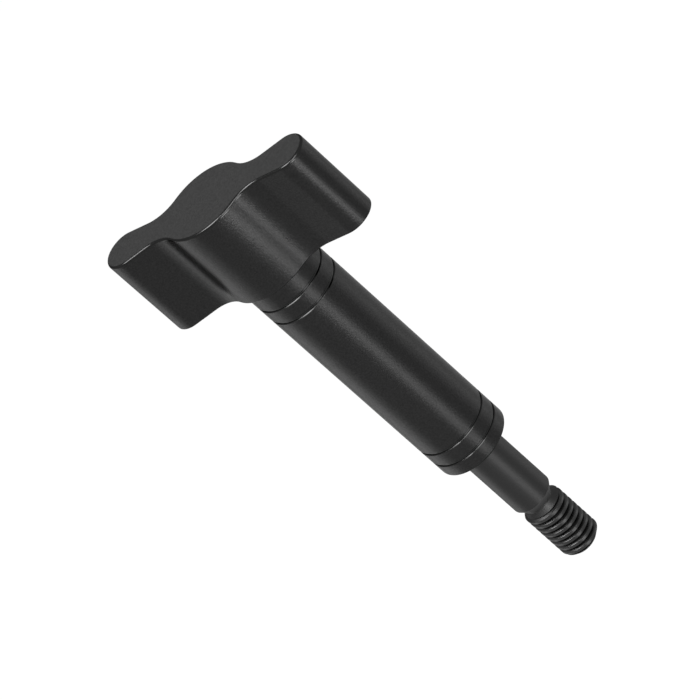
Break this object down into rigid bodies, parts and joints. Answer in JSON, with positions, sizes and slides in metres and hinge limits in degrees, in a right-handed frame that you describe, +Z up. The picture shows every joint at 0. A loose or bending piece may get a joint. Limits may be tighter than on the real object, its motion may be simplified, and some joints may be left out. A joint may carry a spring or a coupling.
{
  "type": "t handle knob",
  "caption": "T-shaped hand knob: lobed cross-head on a long ring-grooved barrel, with a plain shank, a narrow neck and a threaded end.",
  "frame": {"origin": "on the axis at the shoulder, where the barrel ends and the plain shank begins", "axes": "+Z up the axis from the threaded end to the head, +X along the two wings of the head, +Y through the bulges of its hub"},
  "size_m": [0.0316, 0.0116, 0.0745],
  "materials": {
    "body": "black anodised, bead blasted satin"
  },
  "bodies": {
    "root": {"t_handle": "body"}
  },
  "joints": []
}
